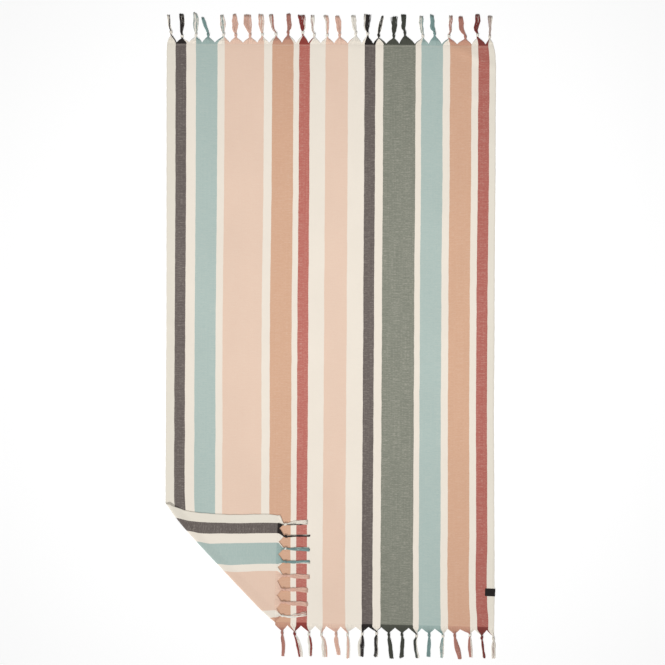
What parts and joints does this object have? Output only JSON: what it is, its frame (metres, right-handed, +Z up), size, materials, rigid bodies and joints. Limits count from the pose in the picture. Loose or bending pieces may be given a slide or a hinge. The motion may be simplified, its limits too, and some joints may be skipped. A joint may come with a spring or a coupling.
{
  "type": "beach towel",
  "caption": "Flat-woven striped beach towel with knotted tassel fringes, laid flat with a corner turned over onto its front.",
  "frame": {"origin": "on the underside, under the middle of the laid towel's outline", "axes": "+X across the towel to its right selvedge, +Y along it to the far fringe, +Z up from the surface it lies on"},
  "size_m": [0.9218, 1.8033, 0.0105],
  "materials": {
    "woven_stripes": "flat-woven cotton with coloured warp stripes and a cream weft",
    "knotted_yarn": "loose cotton warp yarn, knotted",
    "label_weave": "fine black ribbon weave, bare"
  },
  "bodies": {
    "root": {"towel_cloth": "woven_stripes", "far_fringe": "knotted_yarn", "near_fringe": "knotted_yarn", "corner_fringe": "knotted_yarn", "side_label": "label_weave"}
  },
  "joints": []
}
